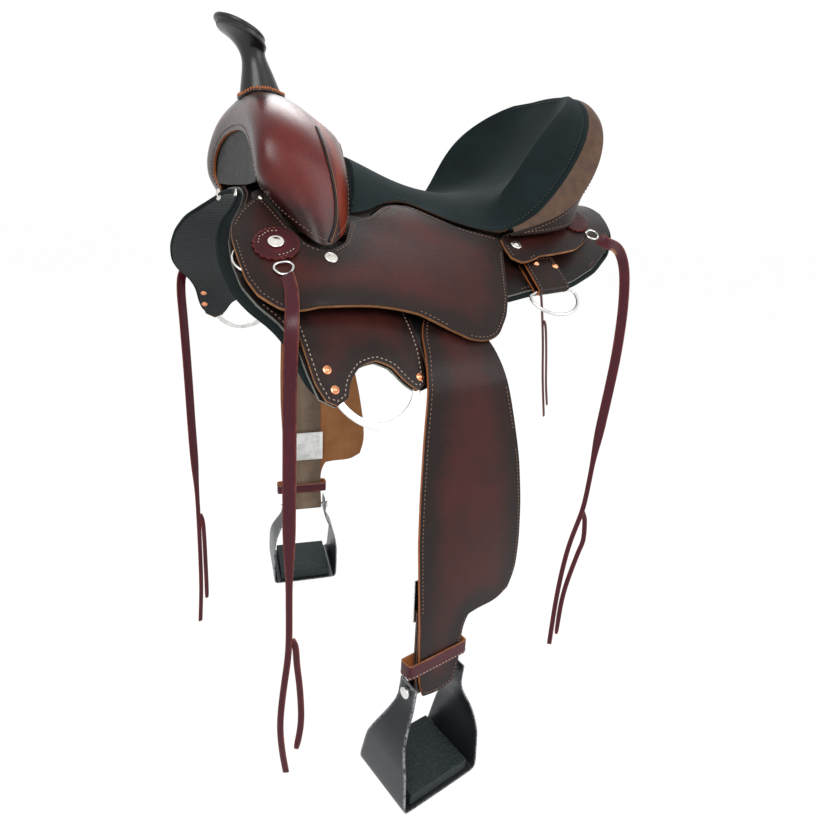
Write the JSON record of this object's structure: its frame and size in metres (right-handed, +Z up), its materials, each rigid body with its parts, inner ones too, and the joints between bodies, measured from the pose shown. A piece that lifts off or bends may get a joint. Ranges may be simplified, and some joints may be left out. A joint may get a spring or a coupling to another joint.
{
  "type": "western trail saddle",
  "caption": "Western trail saddle with horn, padded suede seat, leather jockeys and skirts, swinging fenders with flat-plate stirrups, rigging rings and hanging strings.",
  "frame": {"origin": "on the centre plane, at the middle of the saddle's length, 43 mm under the top of the skirt line: where the horse's back carries it", "axes": "+X to the near (left) side, -Y towards the horse's head, +Z up"},
  "size_m": [0.714, 0.7591, 1.0295],
  "materials": {
    "saddle_leather": "oiled dark chocolate-brown skirting leather",
    "swell_leather": "polished oxblood leather",
    "black_leather": "glossy near-black leather",
    "strap_leather": "plain tan strap leather",
    "burgundy_leather": "waxed burgundy latigo leather",
    "seat_suede": "black suede with a teal cast",
    "lining": "black padded lining",
    "tree_wood": "dark lacquered wood, mostly hidden",
    "strainer_steel": "plain sheet steel, hidden",
    "stainless": "polished stainless",
    "nickel": "polished nickel",
    "stirrup_metal": "black anodised, bare at the worn bends",
    "tread_rubber": "matt textured dark rubber"
  },
  "bodies": {
    "saddle": {"tree_bar_near": "tree_wood", "tree_bar_off": "tree_wood", "tree_fork": "tree_wood", "tree_cantle": "tree_wood", "ground_seat": "strainer_steel", "horn": "black_leather", "swell_cover": "swell_leather", "gullet_panel": "saddle_leather", "seat_pad": "seat_suede", "cantle_cover": "saddle_leather", "jockey_near": "saddle_leather", "jockey_off": "saddle_leather", "rear_jockey_near": "saddle_leather", "rear_jockey_off": "saddle_leather", "skirt_near": "saddle_leather", "skirt_off": "saddle_leather", "skirt_lining_near": "lining", "skirt_lining_off": "lining", "rigging_plate_near": "saddle_leather", "rigging_plate_off": "saddle_leather", "rigging_ring_near": "stainless", "rigging_ring_off": "stainless", "rear_keeper_near": "saddle_leather", "rear_keeper_off": "saddle_leather", "breast_dee_near": "stainless", "breast_dee_off": "stainless", "front_rosette_near": "burgundy_leather", "front_rosette_off": "burgundy_leather", "front_concho_near": "nickel", "front_concho_off": "nickel", "rear_rosette_near": "burgundy_leather", "rear_rosette_off": "burgundy_leather"},
    "near_leathers": {"stirrup_leather_near": "strap_leather", "fender_near": "saddle_leather", "leather_buckle_near": "stainless", "hobble_strap_near": "burgundy_leather"},
    "off_leathers": {"stirrup_leather_off": "strap_leather", "fender_off": "saddle_leather", "leather_buckle_off": "stainless", "hobble_strap_off": "burgundy_leather"},
    "near_stirrup": {"stirrup_near": "stirrup_metal", "tread_pad_near": "tread_rubber", "stirrup_bolt_near": "stainless"},
    "off_stirrup": {"stirrup_off": "stirrup_metal", "tread_pad_off": "tread_rubber", "stirrup_bolt_off": "stainless"},
    "near_rear_ring": {"rear_ring_near": "stainless"},
    "off_rear_ring": {"rear_ring_off": "stainless"},
    "near_front_string": {"front_string_dee_near": "stainless", "front_string_near": "burgundy_leather", "front_string_tail_near": "burgundy_leather"},
    "off_front_string": {"front_string_dee_off": "stainless", "front_string_off": "burgundy_leather", "front_string_tail_off": "burgundy_leather"},
    "near_rear_string": {"rear_string_dee_near": "stainless", "rear_string_near": "burgundy_leather", "rear_string_tail_near": "burgundy_leather"},
    "off_rear_string": {"rear_string_dee_off": "stainless", "rear_string_off": "burgundy_leather", "rear_string_tail_off": "burgundy_leather"}
  },
  "joints": [
    {"name": "near_leathers_swing", "type": "hinge", "parent": "saddle", "child": "near_leathers", "pos_m": [0.12526, -0.0555, -0.00327], "axis": [0.6581, 0, 0.753], "range_deg": [0, 28]},
    {"name": "off_leathers_swing", "type": "hinge", "parent": "saddle", "child": "off_leathers", "pos_m": [-0.12526, -0.0375, -0.00506], "axis": [0.6581, 0, -0.753], "range_deg": [-4, 28]},
    {"name": "near_stirrup_swing", "type": "hinge", "parent": "near_leathers", "child": "near_stirrup", "pos_m": [0.2868, -0.0555, -0.5871], "axis": [-0.1874, 0.9823, 0], "range_deg": [-60, 60]},
    {"name": "off_stirrup_swing", "type": "hinge", "parent": "off_leathers", "child": "off_stirrup", "pos_m": [-0.2868, -0.0375, -0.5871], "axis": [0.1874, 0.9823, 0], "range_deg": [-60, 60]},
    {"name": "near_rear_ring_swing", "type": "hinge", "parent": "saddle", "child": "near_rear_ring", "pos_m": [0.2044, 0.144, -0.07245], "axis": [0, -0.9963, -0.0858], "range_deg": [-15, 85]},
    {"name": "off_rear_ring_swing", "type": "hinge", "parent": "saddle", "child": "off_rear_ring", "pos_m": [-0.2044, 0.144, -0.07245], "axis": [0, 0.9963, 0.0858], "range_deg": [-15, 85]},
    {"name": "near_front_dee_swing", "type": "hinge", "parent": "saddle", "child": "near_front_string", "pos_m": [0.19939, -0.234, -0.03683], "axis": [-0.1292, -0.9804, -0.149], "range_deg": [0, 30]},
    {"name": "off_front_dee_swing", "type": "hinge", "parent": "saddle", "child": "off_front_string", "pos_m": [-0.19939, -0.234, -0.03683], "axis": [-0.1292, 0.9804, 0.149], "range_deg": [0, 30]},
    {"name": "near_rear_dee_swing", "type": "hinge", "parent": "saddle", "child": "near_rear_string", "pos_m": [0.15009, 0.25099, 0.00499], "axis": [0.3634, -0.8644, -0.3476], "range_deg": [0, 30]},
    {"name": "off_rear_dee_swing", "type": "hinge", "parent": "saddle", "child": "off_rear_string", "pos_m": [-0.15009, 0.25099, 0.00499], "axis": [0.3634, 0.8644, 0.3476], "range_deg": [0, 30]}
  ]
}
